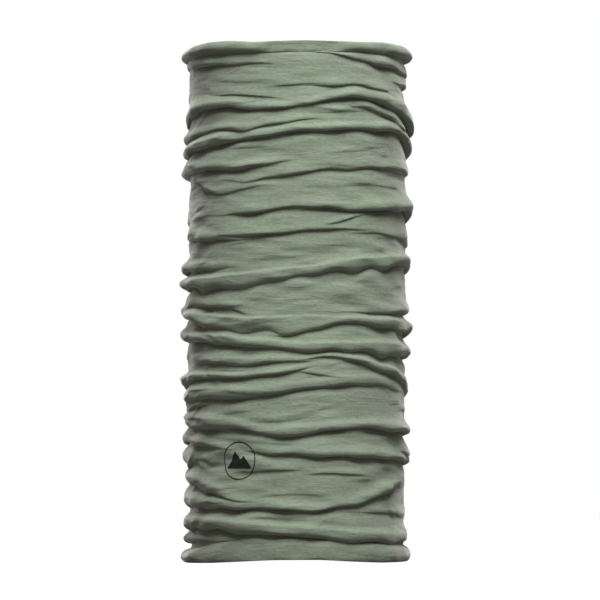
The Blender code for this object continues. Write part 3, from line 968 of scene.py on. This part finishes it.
def care_label():
    """A thin closed ribbon along the label's section. Its UV map is in metres of ribbon."""
    line = curve_through(LABEL_SECTION, LABEL_ROWS) * MM
    along = np.concatenate([[0.0], np.cumsum(np.linalg.norm(np.diff(line, axis=0), axis=1))])
    sides = np.linspace(-LABEL_HALF_WIDTH, LABEL_HALF_WIDTH, LABEL_COLUMNS + 1)
    steps = np.gradient(line, axis=0)
    steps /= np.linalg.norm(steps, axis=1)[:, None]
    outwards = np.stack([-steps[:, 1], steps[:, 0]], axis=1)
    layers = [line + outwards * RIBBON_HALF_THICKNESS, line - outwards * RIBBON_HALF_THICKNESS]
    points = []
    for layer in layers:
        for depth, up in layer:
            points.extend(LABEL_HINGE + Vector((side, depth - label_curl(side, up), up)) for side in sides)
    wide = LABEL_COLUMNS + 1
    back = LABEL_ROWS * wide
    faces = []
    for i in range(LABEL_ROWS - 1):
        for j in range(LABEL_COLUMNS):
            corner = i * wide + j
            faces.append((corner, corner + 1, corner + wide + 1, corner + wide))
            corner += back
            faces.append((corner, corner + wide, corner + wide + 1, corner + 1))
        for j in (0, LABEL_COLUMNS):
            corner = i * wide + j
            faces.append((corner, corner + wide, corner + wide + back, corner + back))
    for i in (0, LABEL_ROWS - 1):
        for j in range(LABEL_COLUMNS):
            corner = i * wide + j
            faces.append((corner, corner + 1, corner + back + 1, corner + back))
    material = ribbon_material("label ribbon")
    label = mesh_piece("care_label_visual", points, faces, material, "care_label")
    layer = label.data.uv_layers.new(name="Cloth")
    for loop in label.data.loops:
        row, column = divmod(loop.vertex_index % back, wide)
        layer.data[loop.index].uv = (sides[column], along[row])
    label.data.set_sharp_from_angle(angle=math.radians(SHARP_TURN_DEG))
    return label


# Its stitches: one zigzag line of thread
THREAD_CENTRE = Vector((0.0, 71.3 * MM, 46.05 * MM))
THREAD_HALF_WIDTH = 9.2 * MM
THREAD_SWING = 1.3 * MM  # height of the zigzag to each side
THREAD_REACH = 0.35 * MM  # from the middle out to the cloth, and in to the top of the label
THREAD_BOW = 0.2 * MM
THREAD_STITCHES = 17
THREAD_RADIUS = 0.16 * MM
THREAD_STEPS_PER_STITCH = 14
THREAD_SIDES = 10


def care_label_thread():
    """A zigzag of stitches, each one bowed a little away from the cloth between its two holes."""
    steps = THREAD_STITCHES * THREAD_STEPS_PER_STITCH
    line = []
    for step in range(steps + 1):
        stitch, share = divmod(step, THREAD_STEPS_PER_STITCH)
        share /= THREAD_STEPS_PER_STITCH
        rising = 1.0 if stitch % 2 == 0 else -1.0
        up = rising * THREAD_SWING * math.sin(math.pi * (share - 0.5))
        across = THREAD_HALF_WIDTH * (2.0 * step / steps - 1.0)
        outwards = THREAD_REACH * up / THREAD_SWING - THREAD_BOW * math.sin(math.pi * share)
        line.append(THREAD_CENTRE + Vector((across, outwards, up)))
    points = []
    for i, place in enumerate(line):
        ahead = (line[min(i + 1, steps)] - line[max(i - 1, 0)]).normalized()
        side = ahead.cross(Vector((0.0, 1.0, 0.0))).normalized()
        out = side.cross(ahead)
        for j in range(THREAD_SIDES):
            turn = 2.0 * math.pi * j / THREAD_SIDES
            points.append(place + THREAD_RADIUS * (math.cos(turn) * side + math.sin(turn) * out))
    faces = []
    for i in range(steps):
        for j in range(THREAD_SIDES):
            after = (j + 1) % THREAD_SIDES
            low = i * THREAD_SIDES
            high = low + THREAD_SIDES
            faces.append((low + j, low + after, high + after, high + j))
    faces.append(tuple(range(THREAD_SIDES))[::-1])
    faces.append(tuple(range(steps * THREAD_SIDES, (steps + 1) * THREAD_SIDES)))
    material = thread_material("label thread")
    name = "care_label_thread_visual"
    return mesh_piece(name, points, faces, material, "care_label_thread")


# Soft lights: (name, place, height that it points at over the middle of the floor, size, watts, colour)
LIGHTS = (
    ("key", (0.16, -0.98, 1.88), 0.2, (0.85, 1.05), 61.0, (0.985, 1.0, 0.985)),
    ("front", (0.1, -2.2, 0.5), 0.2, (1.0, 1.0), 1.5, (0.985, 1.0, 0.985)),
    ("back", (0.0, 1.5, 1.5), 0.18, (1.4, 1.2), 15.0, (1.0, 0.96, 0.92)),
    ("left", (-0.8, 1.5, 0.5), 0.18, (0.5, 1.2), 20.0, (1.0, 0.97, 0.98)),
    ("right", (0.8, 1.5, 0.5), 0.18, (0.5, 1.2), 8.0, (1.0, 0.97, 0.98)),
)
FLOOR_HALF = 8.0
FLOOR_SHADE = 0.12  # how much of the floor's white answers to the lights, and so shows shadows
FLOOR_GLOW = 0.985
FILL = 0.13
FILL_COLOUR = (1.0, 0.64, 0.60, 1.0)
WHITE = (1.0, 1.0, 1.0, 1.0)


def area_light(name, place, aim_height, size, power, colour):
    data = bpy.data.lights.new(name, "AREA")
    data.shape = "RECTANGLE"
    data.size, data.size_y = size
    data.energy = power
    data.color = colour
    light = bpy.data.objects.new(name, data)
    light.location = place
    aim = Vector((0.0, 0.0, aim_height)) - Vector(place)
    light.rotation_euler = aim.to_track_quat("-Z", "Y").to_euler()
    light.visible_camera = False
    bpy.context.scene.collection.objects.link(light)


def seen_directly(tree):
    """1 for what the viewer sees directly and 0 for the light that it throws on the object."""
    return tree.nodes.new("ShaderNodeLightPath").outputs["Is Camera Ray"]


def pale_floor():
    mesh = bpy.data.meshes.new("floor")
    corners = [(-FLOOR_HALF, -FLOOR_HALF, 0), (FLOOR_HALF, -FLOOR_HALF, 0)]
    corners += [(FLOOR_HALF, FLOOR_HALF, 0), (-FLOOR_HALF, FLOOR_HALF, 0)]
    mesh.from_pydata(corners, [], [(0, 1, 2, 3)])
    floor = bpy.data.objects.new("floor", mesh)
    nodes = Nodes("pale floor")
    shade = (FLOOR_SHADE, FLOOR_SHADE, FLOOR_SHADE, 1.0)
    glow = nodes.math("MULTIPLY", seen_directly(nodes.tree), FLOOR_GLOW)
    nodes.set_surface(Base_Color=shade, Roughness=1.0, Specular_IOR_Level=0.0)
    nodes.set_surface(Emission_Color=WHITE, Emission_Strength=glow)
    mesh.materials.append(nodes.material)
    bpy.context.scene.collection.objects.link(floor)


def backdrop_and_fill():
    """A white backdrop for the viewer, and a faint warm fill for the object."""
    world = bpy.data.worlds.new("studio")
    world.use_nodes = True
    tree = world.node_tree
    fill = tree.nodes["Background"]
    fill.inputs["Color"].default_value = FILL_COLOUR
    fill.inputs["Strength"].default_value = FILL
    backdrop = tree.nodes.new("ShaderNodeBackground")
    backdrop.inputs["Color"].default_value = WHITE
    choose = tree.nodes.new("ShaderNodeMixShader")
    tree.links.new(seen_directly(tree), choose.inputs[0])
    tree.links.new(fill.outputs[0], choose.inputs[1])
    tree.links.new(backdrop.outputs[0], choose.inputs[2])
    tree.links.new(choose.outputs[0], tree.nodes["World Output"].inputs["Surface"])
    bpy.context.scene.world = world


# Camera, at the photograph's angle
CAMERA_SIDE = 0.0023
CAMERA_DISTANCE = 3.0
CAMERA_HEIGHT = 0.05
AIM_HEIGHT = 0.1819
LENS_MM = 259.5
SENSOR_MM = 36.0
FARTHEST = 50.0


def camera():
    data = bpy.data.cameras.new("camera")
    data.sensor_width = SENSOR_MM
    data.lens = LENS_MM
    data.clip_end = FARTHEST
    obj = bpy.data.objects.new("camera", data)
    obj.location = (CAMERA_SIDE, -CAMERA_DISTANCE, CAMERA_HEIGHT)
    aim = Vector((CAMERA_SIDE, 0.0, AIM_HEIGHT)) - obj.location
    obj.rotation_euler = aim.to_track_quat("-Z", "Y").to_euler()
    bpy.context.scene.collection.objects.link(obj)
    bpy.context.scene.camera = obj


tube = knitted_tube()
top = rolled_edge("top", TOP_ROLL, TOP_ROLL_SEED)
bottom = rolled_edge("bottom", BOTTOM_ROLL, BOTTOM_ROLL_SEED)
cloth_tree = surface_tree(tube)
ring = printed("ring", cloth_tree, ring_strip())
peaks = printed("peaks", cloth_tree, mountain_strip())
label = care_label()
thread = care_label_thread()
pale_floor()
backdrop_and_fill()
for light in LIGHTS:
    area_light(*light)
camera()
bpy.context.scene.view_settings.view_transform = "Standard"

for piece in (tube, bottom, ring, peaks, thread):
    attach(piece, "tube")
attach(label, "label")
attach(top, "top_edge")
for piece in (tube, ring, peaks):
    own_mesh(piece)
